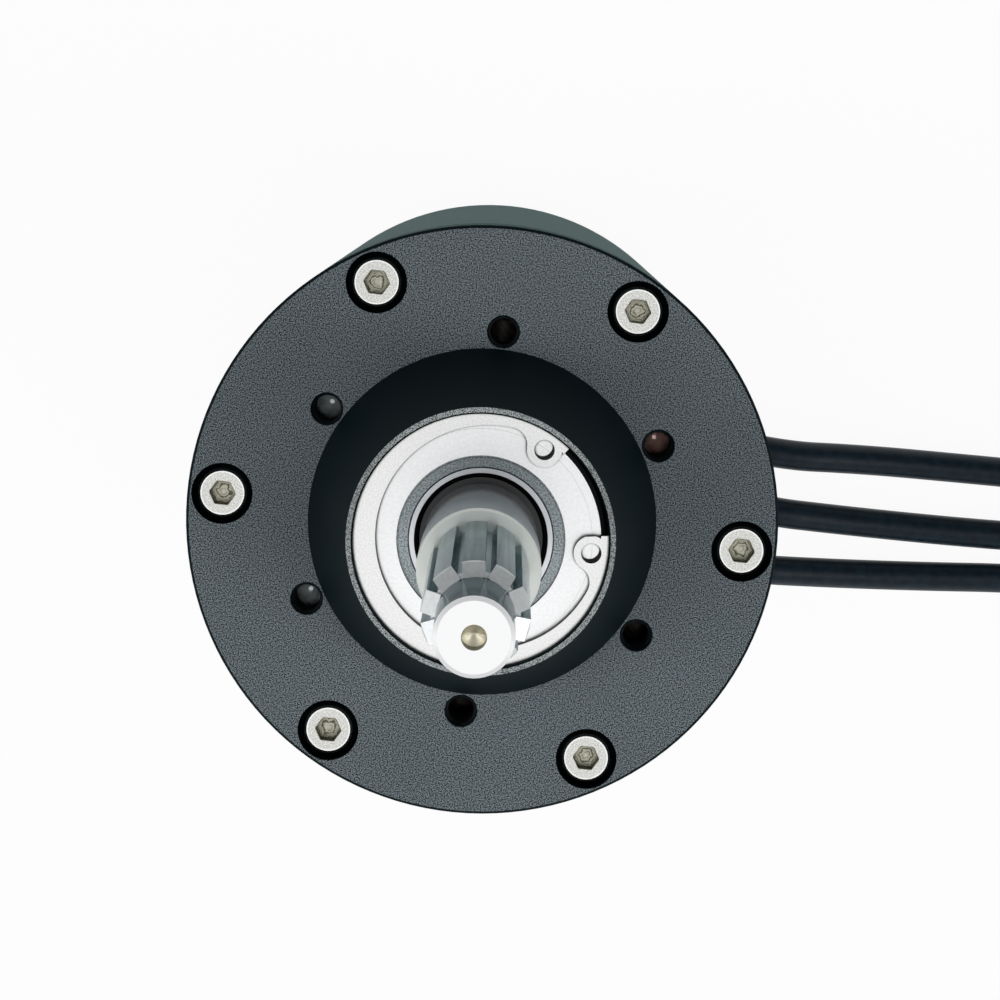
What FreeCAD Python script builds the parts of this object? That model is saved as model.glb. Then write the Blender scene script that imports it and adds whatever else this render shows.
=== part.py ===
import FreeCAD, Part
import math
import os
import Sketcher
from FreeCAD import Placement, Rotation, Vector

# Inrunner brushless motor standing on its rear face, shaft up, with +Z along the shaft.
# The origin is the centre of the rear face. All sizes are in millimetres and degrees.

doc = FreeCAD.newDocument("inrunner_motor")
sheet = doc.addObject("Spreadsheet::Sheet", "Dims")
pieces = []


class Size:
    """A number together with the expression that ties it to the sheet."""

    def __init__(self, value, text):
        self.value = value
        self.text = text

    def __add__(self, other):
        other = as_size(other)
        return Size(self.value + other.value, f"({self.text} + {other.text})")

    def __sub__(self, other):
        other = as_size(other)
        return Size(self.value - other.value, f"({self.text} - {other.text})")

    def __mul__(self, other):
        other = as_size(other)
        return Size(self.value * other.value, f"({self.text} * {other.text})")

    def __truediv__(self, other):
        other = as_size(other)
        return Size(self.value / other.value, f"({self.text} / {other.text})")

    def __neg__(self):
        return Size(-self.value, f"(0 - {self.text})")


def as_size(number):
    return number if isinstance(number, Size) else Size(number, str(number))


def sine(angle):
    return Size(math.sin(math.radians(angle.value)), f"sin({angle.text})")


def cosine(angle):
    return Size(math.cos(math.radians(angle.value)), f"cos({angle.text})")


def dim(alias, number):
    """Writes one driving dimension into the next row of the sheet."""
    dim.row += 1
    sheet.set(f"A{dim.row}", alias)
    sheet.set(f"B{dim.row}", str(number))
    sheet.setAlias(f"B{dim.row}", alias)
    return Size(number, f"Dims.{alias}")


dim.row = 0

# Clearances shared by the fits
slip_gap = dim("slip_gap", 0.05)
press_gap = dim("press_gap", 0.02)
liner_gap = dim("liner_gap", 0.3)
edge_break = dim("edge_break", 0.5)

# Housing
body_dia = dim("body_dia", 85.0)
body_len = dim("body_len", 165.0)
can_wall = dim("can_wall", 8.5)
flange_thick = dim("flange_thick", 12.0)
front_wall = dim("front_wall", 8.0)
rear_cover_len = dim("rear_cover_len", 26.0)
rear_wall = dim("rear_wall", 4.0)
rear_floor = dim("rear_floor", 5.5)
spigot_len = dim("spigot_len", 6.0)
spigot_wall = dim("spigot_wall", 4.0)
ring_section = dim("ring_section", 1.5)
ring_slot = dim("ring_slot", 2.2)
hub_wall = dim("hub_wall", 4.0)

# Boss on the front end bell
boss_foot_dia = dim("boss_foot_dia", 50.0)
boss_height = dim("boss_height", 24.0)
rim_wall = dim("rim_wall", 0.9)
mouth_bevel = dim("mouth_bevel", 0.2)
bearing_recess = dim("bearing_recess", 3.0)
seat_step = dim("seat_step", 4.0)

# Circlip in the boss
clip_thick = dim("clip_thick", 1.5)
clip_play = dim("clip_play", 0.1)
clip_depth = dim("clip_depth", 1.0)
clip_beam = dim("clip_beam", 3.0)
clip_shift = dim("clip_shift", 1.1)
clip_turn = dim("clip_turn", 30.7)
lug_inset = dim("lug_inset", 2.3)
lug_angle = dim("lug_angle", 30.8)
lug_span = dim("lug_span", 8.7)
lug_dia = dim("lug_dia", 4.8)
lug_blend = dim("lug_blend", 2.4)
lug_hole_dia = dim("lug_hole_dia", 2.8)

# Screws and tapped mounting holes
screw_count = dim("screw_count", 6)
screw_dia = dim("screw_dia", 4.0)
head_dia = dim("head_dia", 7.0)
head_height = dim("head_height", 4.0)
head_bevel = dim("head_bevel", 0.35)
socket_width = dim("socket_width", 3.3)
socket_depth = dim("socket_depth", 2.2)
head_gap = dim("head_gap", 0.9)
head_sink = dim("head_sink", 0.8)
edge_land = dim("edge_land", 0.6)
screw_grip = dim("screw_grip", 9.0)
hole_spare = dim("hole_spare", 2.0)
hole_gap = dim("hole_gap", 0.2)
mount_count = dim("mount_count", 6)
mount_dia = dim("mount_dia", 4.2)
mount_bevel = dim("mount_bevel", 0.35)
mount_land = dim("mount_land", 0.05)

# Bearings
front_bore = dim("front_bore", 17.0)
front_outer = dim("front_outer", 35.0)
front_width = dim("front_width", 10.0)
front_ball = dim("front_ball", 4.8)
rear_bore = dim("rear_bore", 15.0)
rear_outer = dim("rear_outer", 32.0)
rear_width = dim("rear_width", 9.0)
rear_ball = dim("rear_ball", 4.5)
ball_count = dim("ball_count", 9)
race_gap = dim("race_gap", 0.04)
race_depth = dim("race_depth", 0.7)
shield_thick = dim("shield_thick", 0.4)
shield_grip = dim("shield_grip", 0.6)
shield_gap = dim("shield_gap", 0.3)
shield_lap = dim("shield_lap", 0.15)
ring_bevel = dim("ring_bevel", 0.7)
ring_land = dim("ring_land", 0.65)
face_groove = dim("face_groove", 0.2)
ring_corner = dim("ring_corner", 1.0)
cage_wall = dim("cage_wall", 1.3)
cage_side = dim("cage_side", 0.3)
preload_height = dim("preload_height", 1.5)
preload_thick = dim("preload_thick", 0.6)
preload_band = dim("preload_band", 4.0)

# Shaft, heights from the front face
journal_step = dim("journal_step", 0.5)
neck_step = dim("neck_step", 0.2)
neck_reach = dim("neck_reach", 16.0)
seat_end = dim("seat_end", 1.2)
shoulder_height = dim("shoulder_height", 54.8)
shoulder_bevel = dim("shoulder_bevel", 0.3)
spline_dia = dim("spline_dia", 12.8)
spline_root = dim("spline_root", 10.4)
spline_teeth = dim("spline_teeth", 10)
spline_tooth = dim("spline_tooth", 2.7)
spline_turn = dim("spline_turn", 8.3)
spline_end = dim("spline_end", 95.7)
pilot_dia = dim("pilot_dia", 9.2)
pilot_bevel = dim("pilot_bevel", 0.5)
tip_height = dim("tip_height", 113.0)
centre_dia = dim("centre_dia", 2.9)
centre_depth = dim("centre_depth", 3.0)
collar_step = dim("collar_step", 2.0)
stop_step = dim("stop_step", 2.0)
stop_len = dim("stop_len", 3.0)

# Stator and coils
slot_count = dim("slot_count", 12)
yoke = dim("yoke", 4.0)
tooth_len = dim("tooth_len", 9.95)
tooth_tip = dim("tooth_tip", 1.2)
tip_flare = dim("tip_flare", 1.2)
slot_opening = dim("slot_opening", 2.5)
insulator_thick = dim("insulator_thick", 1.5)
lead_room = dim("lead_room", 20.0)
turn_room = dim("turn_room", 4.0)
coil_leg = dim("coil_leg", 2.4)
coil_gap = dim("coil_gap", 0.7)
coil_round = dim("coil_round", 0.9)
coil_overhang = dim("coil_overhang", 9.0)

# Rotor
air_gap = dim("air_gap", 0.5)
sleeve_wall = dim("sleeve_wall", 0.8)
magnet_thick = dim("magnet_thick", 3.0)
magnet_count = dim("magnet_count", 10)
magnet_gap = dim("magnet_gap", 3.0)
rotor_extra = dim("rotor_extra", 1.0)
balance_thick = dim("balance_thick", 5.0)
balance_pit = dim("balance_pit", 3.0)
pit_depth = dim("pit_depth", 2.5)
core_wall = dim("core_wall", 4.58)
core_hole = dim("core_hole", 3.0)
core_hole_count = dim("core_hole_count", 5)

# Lead outlet in the rear cover
outlet_angle = dim("outlet_angle", -11.0)
outlet_flat = dim("outlet_flat", 3.0)
lead_dia = dim("lead_dia", 5.65)
lead_pitch = dim("lead_pitch", 10.6)
lead_height = dim("lead_height", 10.0)
grommet_wall = dim("grommet_wall", 0.875)
lip_step = dim("lip_step", 0.9)
lip_thick = dim("lip_thick", 1.6)
nose_len = dim("nose_len", 2.4)
grommet_grip = dim("grommet_grip", 5.5)
lead_tail = dim("lead_tail", 6.0)
lead_exit = dim("lead_exit", 12.4)
splice_gap = dim("splice_gap", 0.2)
splice_len = dim("splice_len", 7.5)
plug_dia = dim("plug_dia", 5.5)
plug_len = dim("plug_len", 14.0)
plug_collar = dim("plug_collar", 6.4)
plug_bulge = dim("plug_bulge", 0.3)
shrink_wall = dim("shrink_wall", 0.6)
shrink_len = dim("shrink_len", 20.0)
cup_len = dim("cup_len", 9.0)

# Radii and stations worked out from the dimensions above
body_r = body_dia / 2
can_r = body_r - can_wall
spigot_r = can_r - slip_gap
cavity_r = spigot_r - spigot_wall
can_top = body_len - flange_thick
wall_inside = body_len - front_wall
rim = body_len + boss_height
front_face = rim - bearing_recess
front_back = front_face - front_width
rear_back = rear_wall + preload_height
rear_front = rear_back + rear_width
stack_bottom = rear_cover_len + spigot_len + lead_room
stack_top = can_top - spigot_len - turn_room
counterbore_dia = head_dia + head_gap * 2
counterbore_depth = head_height + head_sink
screw_r = body_r - counterbore_dia / 2 - edge_land
clip_slot = clip_thick + clip_play
stator_r = can_r - slip_gap
bore_r = stator_r - yoke - tooth_len
sleeve_r = bore_r - air_gap
magnet_r = sleeve_r - sleeve_wall - slip_gap
core_r = magnet_r - magnet_thick - slip_gap
core_seat_r = core_r - core_wall - press_gap
lead_hole = lead_dia + grommet_wall * 2
mount_r = boss_foot_dia / 2 + mount_dia / 2 + mount_bevel + mount_land
mount_spin = as_size(180) / mount_count
rear_spin = outlet_angle + as_size(180) / screw_count


def new_body(label, many=False):
    """An empty body; with many set it may hold a group of separate solids."""
    body = doc.addObject("PartDesign::Body", label)
    body.Label = label
    body.AllowCompound = many
    pieces.append(body)
    return body


def origin_part(body, role):
    for feature in body.Origin.OriginFeatures:
        if feature.Role == role:
            return feature


def sketch_on(body, role, spin=None, height=None):
    """A sketch on one of the body's planes, turned about +Z by spin and lifted along its own normal."""
    sketch = body.newObject("Sketcher::SketchObject", body.Label + "_sketch")
    sketch.AttachmentSupport = (origin_part(body, role), "")
    sketch.MapMode = "FlatFace"
    flat = role == "XY_Plane"
    if spin:
        turn_axis = Vector(0, 0, 1) if flat else Vector(0, 1, 0)
        sketch.AttachmentOffset = Placement(Vector(), Rotation(turn_axis, spin.value))
        sketch.setExpression("AttachmentOffset.Rotation.Angle", spin.text)
    if height and spin and not flat:
        sketch.setExpression("AttachmentOffset.Base.x", (height * sine(spin)).text)
        sketch.setExpression("AttachmentOffset.Base.z", (height * cosine(spin)).text)
    elif height:
        sketch.setExpression("AttachmentOffset.Base.z", height.text)
    return sketch


def pin(sketch, geometry, end, x, y):
    """Ties one point of the sketch to the two given sizes."""
    for kind, size, axis in (("DistanceX", x, -2), ("DistanceY", y, -1)):
        if isinstance(size, Size):
            rule = Sketcher.Constraint(kind, -1, 1, geometry, end, size.value)
            index = sketch.addConstraint(rule)
            sketch.setExpression(f"Constraints[{index}]", size.text)
        else:
            sketch.addConstraint(Sketcher.Constraint("PointOnObject", geometry, end, axis))


def outline(sketch, corners):
    """A closed run of straight lines through the corners; a plain 0 puts a corner on the axis."""
    places = [Vector(as_size(x).value, as_size(y).value, 0) for x, y in corners]
    first = sketch.GeometryCount
    last = first + len(corners) - 1
    for place, following in zip(places, places[1:] + places[:1]):
        sketch.addGeometry(Part.LineSegment(place, following), False)
    for line in range(first, last + 1):
        after = line + 1 if line < last else first
        sketch.addConstraint(Sketcher.Constraint("Coincident", line, 2, after, 1))
    for line, (x, y) in zip(range(first, last + 1), corners):
        pin(sketch, line, 1, x, y)


def circle(sketch, x, y, radius):
    place = Vector(as_size(x).value, as_size(y).value, 0)
    index = sketch.addGeometry(Part.Circle(place, Vector(0, 0, 1), radius.value), False)
    rule = sketch.addConstraint(Sketcher.Constraint("Radius", index, radius.value))
    sketch.setExpression(f"Constraints[{rule}]", radius.text)
    pin(sketch, index, 3, x, y)


def turning_axis(sketch, x):
    """An upright construction line that a profile beside the centre line is turned about."""
    foot = Vector(x.value, 0, 0)
    index = sketch.addGeometry(Part.LineSegment(foot, foot + Vector(0, 10, 0)), True)
    sketch.addConstraint(Sketcher.Constraint("Vertical", index))
    pin(sketch, index, 1, x, 0)


def finish(body, feature):
    body.Tip = feature
    doc.recompute()
    return feature


def revolve(body, sketch, kind="Revolution", axis="V_Axis", angle=None):
    feature = body.newObject(f"PartDesign::{kind}", f"{body.Label}_{kind.lower()}")
    feature.Profile = sketch
    feature.ReferenceAxis = (sketch, [axis])
    feature.Angle = 360
    if angle:
        feature.Midplane = True
        feature.setExpression("Angle", angle.text)
    return finish(body, feature)


def extrude(body, sketch, length, kind="Pad"):
    """A pad along the sketch's normal, or a pocket against it."""
    feature = body.newObject(f"PartDesign::{kind}", f"{body.Label}_{kind.lower()}")
    feature.Profile = sketch
    feature.setExpression("Length", length.text)
    return finish(body, feature)


def around(body, features, count):
    """Repeats the features evenly about the body's Z axis."""
    pattern = body.newObject("PartDesign::PolarPattern", body.Label + "_pattern")
    pattern.Originals = features
    pattern.Axis = (origin_part(body, "Z_Axis"), [""])
    pattern.Angle = 360
    pattern.setExpression("Occurrences", count.text)
    return finish(body, pattern)


def in_row(body, features, pitch, count):
    """Repeats the features along the body's Y axis."""
    pattern = body.newObject("PartDesign::LinearPattern", body.Label + "_row")
    pattern.Originals = features
    pattern.Direction = (origin_part(body, "Y_Axis"), [""])
    pattern.setExpression("Length", (pitch * (count - 1)).text)
    pattern.Occurrences = count
    return finish(body, pattern)


def turned(label, corners):
    """A body of one turned profile about the Z axis."""
    body = new_body(label)
    sketch = sketch_on(body, "XZ_Plane")
    outline(sketch, corners)
    revolve(body, sketch)
    return body


def ring(label, inner, outer, low, high):
    return turned(label, [(inner, low), (outer, low), (outer, high), (inner, high)])


def spigot_slot(middle):
    """The O-ring slot of a spigot, with its corners in order upward."""
    slot_r = can_r - ring_section - press_gap * 2
    low = middle - ring_slot / 2
    high = middle + ring_slot / 2
    return [(spigot_r, low), (slot_r, low), (slot_r, high), (spigot_r, high)]


def screw_holes(body, spin, face, far_end, outward):
    """Counterbored clearance holes for the cover screws, cut from face to far_end."""
    sketch = sketch_on(body, "XZ_Plane", spin)
    turning_axis(sketch, screw_r)
    floor = face - counterbore_depth * outward
    wide = screw_r + counterbore_dia / 2
    narrow = screw_r + screw_dia / 2 + hole_gap
    outline(sketch, [(screw_r, face), (wide, face), (wide, floor), (narrow, floor),
                     (narrow, far_end), (screw_r, far_end)])
    cut = revolve(body, sketch, "Groove", "Axis0")
    around(body, [cut], screw_count)


# Front end bell: flange, spigot and conical boss turned in one piece
bell = turned("front_end_bell", [
    (front_outer / 2 - seat_step, wall_inside),
    (cavity_r, wall_inside),
    (cavity_r, can_top - spigot_len),
    (spigot_r, can_top - spigot_len),
    *spigot_slot(can_top - spigot_len / 2),
    (spigot_r, can_top),
    (body_r, can_top),
    (body_r, body_len - edge_break),
    (body_r - edge_break, body_len),
    (boss_foot_dia / 2, body_len),
    (front_outer / 2 + press_gap + rim_wall, rim),
    (front_outer / 2 + press_gap + mouth_bevel, rim),
    (front_outer / 2 + press_gap, rim - mouth_bevel),
    (front_outer / 2 + press_gap, front_face + clip_slot),
    (front_outer / 2 + clip_depth, front_face + clip_slot),
    (front_outer / 2 + clip_depth, front_face),
    (front_outer / 2 + press_gap, front_face),
    (front_outer / 2 + press_gap, front_back),
    (front_outer / 2 - seat_step, front_back),
])
screw_holes(bell, None, body_len, can_top, 1)

# Tapped mounting holes through the front wall, with a small lead-in
mount_sketch = sketch_on(bell, "XZ_Plane", mount_spin)
turning_axis(mount_sketch, mount_r)
outline(mount_sketch, [
    (mount_r, body_len),
    (mount_r + mount_dia / 2 + mount_bevel, body_len),
    (mount_r + mount_dia / 2, body_len - mount_bevel),
    (mount_r + mount_dia / 2, wall_inside),
    (mount_r, wall_inside),
])
around(bell, [revolve(bell, mount_sketch, "Groove", "Axis0")], mount_count)

# Can: plain tube with blind screw holes in both ends
can = turned("housing_can", [
    (can_r, rear_cover_len), (body_r, rear_cover_len), (body_r, can_top), (can_r, can_top),
])
for spin, mouth, inward in ((None, can_top, -1), (rear_spin, rear_cover_len, 1)):
    blind_sketch = sketch_on(can, "XZ_Plane", spin)
    turning_axis(blind_sketch, screw_r)
    blind_r = screw_r + screw_dia / 2 + slip_gap
    blind_end = mouth + (screw_grip + hole_spare) * inward
    outline(blind_sketch, [(screw_r, mouth), (blind_r, mouth), (blind_r, blind_end), (screw_r, blind_end)])
    around(can, [revolve(can, blind_sketch, "Groove", "Axis0")], screw_count)

# Rear cover: cup with the rear bearing hub inside and a flat for the lead outlet
cover = turned("rear_cover", [
    (0, 0),
    (body_r - edge_break * 2, 0),
    (body_r, edge_break * 2),
    (body_r, rear_cover_len),
    (spigot_r, rear_cover_len),
    *spigot_slot(rear_cover_len + spigot_len / 2),
    (spigot_r, rear_cover_len + spigot_len),
    (cavity_r, rear_cover_len + spigot_len),
    (cavity_r, rear_floor),
    (rear_outer / 2 + hub_wall, rear_floor),
    (rear_outer / 2 + hub_wall, rear_front),
    (rear_outer / 2 + press_gap, rear_front),
    (rear_outer / 2 + press_gap, rear_wall),
    (0, rear_wall),
])
screw_holes(cover, rear_spin, as_size(0), rear_cover_len, -1)
flat_at = body_r - outlet_flat
flat_sketch = sketch_on(cover, "YZ_Plane", outlet_angle, body_r)
outline(flat_sketch, [(-body_r, 0), (body_r, 0), (body_r, rear_cover_len), (-body_r, rear_cover_len)])
extrude(cover, flat_sketch, outlet_flat, "Pocket")
outlet_sketch = sketch_on(cover, "YZ_Plane", outlet_angle, flat_at)
for across in (-lead_pitch, 0, lead_pitch):
    circle(outlet_sketch, across, lead_height, lead_hole / 2)
extrude(cover, outlet_sketch, flat_at - cavity_r + lead_hole, "Pocket")


def cap_screws(label, seat, length, spin, outward):
    """Socket-head cap screws on the screw circle; outward is 1 for heads up and -1 for heads down."""
    body = new_body(label, many=True)
    sketch = sketch_on(body, "XZ_Plane", spin)
    turning_axis(sketch, screw_r)
    shank = screw_r + screw_dia / 2
    head = screw_r + head_dia / 2
    tip = seat - length * outward
    top = seat + head_height * outward
    outline(sketch, [
        (screw_r, tip), (shank - head_bevel, tip), (shank, tip + head_bevel * outward),
        (shank, seat), (head, seat), (head, top - head_bevel * outward), (head - head_bevel, top),
        (screw_r, top),
    ])
    blank = revolve(body, sketch, axis="Axis0")
    socket = hex_socket(body, spin, top, outward)
    around(body, [blank, socket], screw_count)
    return body


def hex_socket(body, spin, top, outward):
    """The hexagonal socket in the first screw's head."""
    sketch = sketch_on(body, "XY_Plane", spin, top)
    reach = socket_width / 3 ** 0.5
    corners = []
    for corner in range(6):
        angle = as_size(60 * corner)
        across = 0 if corner % 3 == 0 else reach * sine(angle)
        corners.append((screw_r + reach * cosine(angle), across))
    outline(sketch, corners)
    feature = body.newObject("PartDesign::Pocket", body.Label + "_pocket")
    feature.Profile = sketch
    feature.Reversed = outward < 0
    feature.setExpression("Length", socket_depth.text)
    return finish(body, feature)


front_shank = flange_thick - counterbore_depth + screw_grip
rear_shank = rear_cover_len - counterbore_depth + screw_grip
cap_screws("front_cover_screws", body_len - counterbore_depth, front_shank, None, 1)
cap_screws("rear_cover_screws", counterbore_depth, rear_shank, rear_spin, -1)

# O-rings in the spigot slots
for label, middle in (("front_o_ring", can_top - spigot_len / 2),
                      ("rear_o_ring", rear_cover_len + spigot_len / 2)):
    o_ring = new_body(label)
    section = sketch_on(o_ring, "XZ_Plane")
    circle(section, can_r - press_gap - ring_section / 2, middle, ring_section / 2)
    revolve(o_ring, section)


# Circlip: eccentric ring with two eyed lugs, sprung into the slot above the bearing
def is_lug_root(edge):
    """True for an upright edge where a lug grows out of the ring, on the side away from the gap."""
    box = edge.BoundBox
    upright = box.ZLength > clip_thick.value / 2 and box.XLength < edge_break.value / 10
    return upright and math.degrees(math.atan2(abs(box.YMin), box.XMin)) > lug_angle.value


clip = new_body("front_circlip")
clip_r = front_outer / 2 + clip_depth - slip_gap
lug_r = front_outer / 2 - lug_inset
gap_half = lug_angle - lug_span
clip_sketch = sketch_on(clip, "XY_Plane", height=front_face)
circle(clip_sketch, 0, 0, clip_r)
circle(clip_sketch, clip_shift, 0, clip_r - clip_beam)
extrude(clip, clip_sketch, clip_thick)
lug_sketch = sketch_on(clip, "XY_Plane", height=front_face)
eye_sketch = sketch_on(clip, "XY_Plane", height=front_face + clip_thick)
gap_sketch = sketch_on(clip, "XY_Plane", height=front_face + clip_thick)
for side in (1, -1):
    place = (lug_r * cosine(lug_angle), lug_r * sine(lug_angle) * side)
    circle(lug_sketch, *place, lug_dia / 2)
    circle(eye_sketch, *place, lug_hole_dia / 2)
gap_reach = clip_r * 1.3
gap_across = gap_reach * sine(gap_half) / cosine(gap_half)
outline(gap_sketch, [(0, 0), (gap_reach, -gap_across), (gap_reach, gap_across)])
lugs = extrude(clip, lug_sketch, clip_thick)
blend = clip.newObject("PartDesign::Fillet", "lug_blends")
blend.Base = (lugs, [f"Edge{n + 1}" for n, edge in enumerate(lugs.Shape.Edges) if is_lug_root(edge)])
blend.setExpression("Radius", lug_blend.text)
finish(clip, blend)
extrude(clip, gap_sketch, clip_thick, "Pocket")
extrude(clip, eye_sketch, clip_thick, "Pocket")
clip.Placement = Placement(Vector(), Rotation(Vector(0, 0, 1), clip_turn.value))
clip.setExpression("Placement.Rotation.Angle", clip_turn.text)


def bearing(name, bore, outer, width, low, ball):
    """A shielded ball bearing in five nodes: two rings, shields, balls and cage."""
    high = low + width
    middle = low + width / 2
    pitch_r = (bore + outer) / 4
    race_r = ball / 2 + race_gap
    outer_land = pitch_r + ball / 2 - race_depth
    inner_land = pitch_r - ball / 2 + race_depth
    grip_r = outer_land + shield_grip
    outer_r = outer / 2
    bore_r = bore / 2

    outer_ring = turned(f"{name}_bearing_outer_ring", [
        (grip_r, low), (outer_r - ring_corner, low), (outer_r, low + ring_corner),
        (outer_r, high - ring_corner), (outer_r - ring_corner, high), (grip_r, high),
        (grip_r, high - shield_thick), (outer_land, high - shield_thick),
        (outer_land, low + shield_thick), (grip_r, low + shield_thick),
    ])
    notch = shield_thick + shield_gap
    shoulder_r = inner_land + shield_gap + shield_lap
    groove_r = bore_r + ring_bevel + ring_land
    inner_ring = turned(f"{name}_bearing_inner_ring", [
        (bore_r, low + ring_bevel), (bore_r + ring_bevel, low), (inner_land, low),
        (inner_land, low + notch), (shoulder_r, low + notch),
        (shoulder_r, high - notch), (inner_land, high - notch), (inner_land, high),
        (groove_r + face_groove, high), (groove_r + face_groove / 2, high - face_groove), (groove_r, high),
        (bore_r + ring_bevel, high), (bore_r, high - ring_bevel * 2),
    ])
    for part in (outer_ring, inner_ring):
        race = sketch_on(part, "XZ_Plane")
        circle(race, pitch_r, middle, race_r)
        revolve(part, race, "Groove")

    shields = new_body(f"{name}_bearing_shields", many=True)
    shield_sketch = sketch_on(shields, "XZ_Plane")
    inner_edge = inner_land + shield_gap
    outer_edge = grip_r - press_gap
    for bottom in (low, high - shield_thick):
        top = bottom + shield_thick
        outline(shield_sketch, [
            (inner_edge, bottom), (outer_edge, bottom), (outer_edge, top), (inner_edge, top),
        ])
    revolve(shields, shield_sketch)

    balls = new_body(f"{name}_bearing_balls", many=True)
    ball_sketch = sketch_on(balls, "XZ_Plane")
    half_disc(ball_sketch, pitch_r, middle, ball / 2)
    around(balls, [revolve(balls, ball_sketch, axis="Axis0")], ball_count)

    cage_low = middle - ball / 2 - cage_side
    cage_high = middle + ball / 2 + cage_side
    cage_in = pitch_r - cage_wall / 2
    cage = ring(f"{name}_bearing_cage", cage_in, cage_in + cage_wall, cage_low, cage_high)
    pocket_sketch = sketch_on(cage, "YZ_Plane", height=pitch_r + cage_wall)
    circle(pocket_sketch, 0, middle, race_r)
    around(cage, [extrude(cage, pocket_sketch, cage_wall * 2, "Pocket")], ball_count)


def half_disc(sketch, x, y, radius):
    """The outer half of a disc, closed by its upright diameter, to be turned into a sphere."""
    turning_axis(sketch, x)
    centre = Vector(x.value, y.value, 0)
    whole = Part.Circle(centre, Vector(0, 0, 1), radius.value)
    round_side = Part.ArcOfCircle(whole, -math.pi / 2, math.pi / 2)
    arc = sketch.addGeometry(round_side, False)
    down = Vector(0, radius.value, 0)
    chord = sketch.addGeometry(Part.LineSegment(centre + down, centre - down), False)
    sketch.addConstraint(Sketcher.Constraint("Coincident", arc, 2, chord, 1))
    sketch.addConstraint(Sketcher.Constraint("Coincident", chord, 2, arc, 1))
    sketch.addConstraint(Sketcher.Constraint("Vertical", chord))
    sketch.addConstraint(Sketcher.Constraint("PointOnObject", arc, 3, chord))
    pin(sketch, arc, 3, x, y)
    rule = sketch.addConstraint(Sketcher.Constraint("Radius", arc, radius.value))
    sketch.setExpression(f"Constraints[{rule}]", radius.text)


bearing("front", front_bore, front_outer, front_width, front_back, front_ball)
bearing("rear", rear_bore, rear_outer, rear_width, rear_back, rear_ball)

# Preload washer: coned spring disc between the hub floor and the rear outer ring
preload_outer = rear_outer / 2 - ring_corner - slip_gap
turned("preload_washer", [
    (preload_outer - preload_band, rear_wall), (preload_outer, rear_back - preload_thick),
    (preload_outer, rear_back), (preload_outer - preload_band, rear_wall + preload_thick),
])


# A tooth is as wide as the coil legs beside it leave room for
slot_half = as_size(180) / slot_count
coil_in = bore_r + tooth_tip + tip_flare + liner_gap
coil_out = cavity_r - liner_gap * 2
coil_half = coil_in * sine(slot_half) / cosine(slot_half) - coil_gap / 2
tooth_half = coil_half - coil_leg - liner_gap


def lamination(label, low, high):
    """Toothed stator section between two heights, pushed into the can."""
    body = ring(label, stator_r - yoke, stator_r, low, high)
    tooth_sketch = sketch_on(body, "XY_Plane", height=low)
    root = stator_r - yoke / 2
    tip_half = bore_r * sine(slot_half) - slot_opening / 2
    neck = bore_r + tooth_tip
    outline(tooth_sketch, [
        (bore_r - tooth_tip, -tip_half), (neck, -tip_half), (neck + tip_flare, -tooth_half),
        (root, -tooth_half), (root, tooth_half), (neck + tip_flare, tooth_half), (neck, tip_half),
        (bore_r - tooth_tip, tip_half),
    ])
    around(body, [extrude(body, tooth_sketch, high - low)], slot_count)
    bore_sketch = sketch_on(body, "XY_Plane", height=high)
    circle(bore_sketch, 0, 0, bore_r)
    extrude(body, bore_sketch, high - low, "Pocket")
    return body


lamination("stator_core", stack_bottom, stack_top)
lamination("rear_slot_insulator", stack_bottom - insulator_thick, stack_bottom)
lamination("front_slot_insulator", stack_top, stack_top + insulator_thick)


def stadium(sketch, half_width, low, high):
    """An upright loop of two straight sides and two half circles, centred on the vertical axis."""
    ends = []
    for height, start in ((high, 0), (low, math.pi)):
        centre = Vector(0, height.value, 0)
        disc = Part.Circle(centre, Vector(0, 0, 1), half_width.value)
        arc = sketch.addGeometry(Part.ArcOfCircle(disc, start, start + math.pi), False)
        pin(sketch, arc, 3, 0, height)
        rule = sketch.addConstraint(Sketcher.Constraint("Radius", arc, half_width.value))
        sketch.setExpression(f"Constraints[{rule}]", half_width.text)
        ends.append(arc)
    top, bottom = ends
    for start, end, side in ((top, bottom, -1), (bottom, top, 1)):
        across = half_width.value * side
        first, second = (high.value, low.value) if side < 0 else (low.value, high.value)
        edge = Part.LineSegment(Vector(across, first, 0), Vector(across, second, 0))
        line = sketch.addGeometry(edge, False)
        sketch.addConstraint(Sketcher.Constraint("Tangent", start, 2, line, 1))
        sketch.addConstraint(Sketcher.Constraint("Tangent", line, 2, end, 1))


def phase_coils(label, first_slot):
    """The coils of one phase: a wound loop round every third tooth."""
    body = new_body(label, many=True)
    low = stack_bottom - insulator_thick - coil_overhang + coil_half
    high = stack_top + insulator_thick + coil_overhang - coil_half
    sketch = sketch_on(body, "YZ_Plane", height=coil_in)
    stadium(sketch, coil_half, low, high)
    stadium(sketch, coil_half - coil_leg, low, high)
    loop = extrude(body, sketch, coil_out - coil_in)
    rounding = body.newObject("PartDesign::Fillet", label + "_fillet")
    rounding.Base = (loop, [f"Edge{n + 1}" for n, edge in enumerate(loop.Shape.Edges) if is_rim(edge)])
    rounding.setExpression("Radius", coil_round.text)
    finish(body, rounding)
    pattern = body.newObject("PartDesign::PolarPattern", label + "_pattern")
    pattern.TransformMode = "Whole shape"
    pattern.Axis = (origin_part(body, "Z_Axis"), [""])
    pattern.Angle = 360
    pattern.setExpression("Occurrences", (slot_count / 3).text)
    finish(body, pattern)
    turn = as_size(360) / slot_count * first_slot
    body.Placement = Placement(Vector(), Rotation(Vector(0, 0, 1), turn.value))
    if first_slot:
        body.setExpression("Placement.Rotation.Angle", turn.text)
    return body


def is_rim(edge):
    """True for an edge that runs along the loop and not across its side."""
    box = edge.BoundBox
    return box.XLength < coil_round.value / 10


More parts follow.
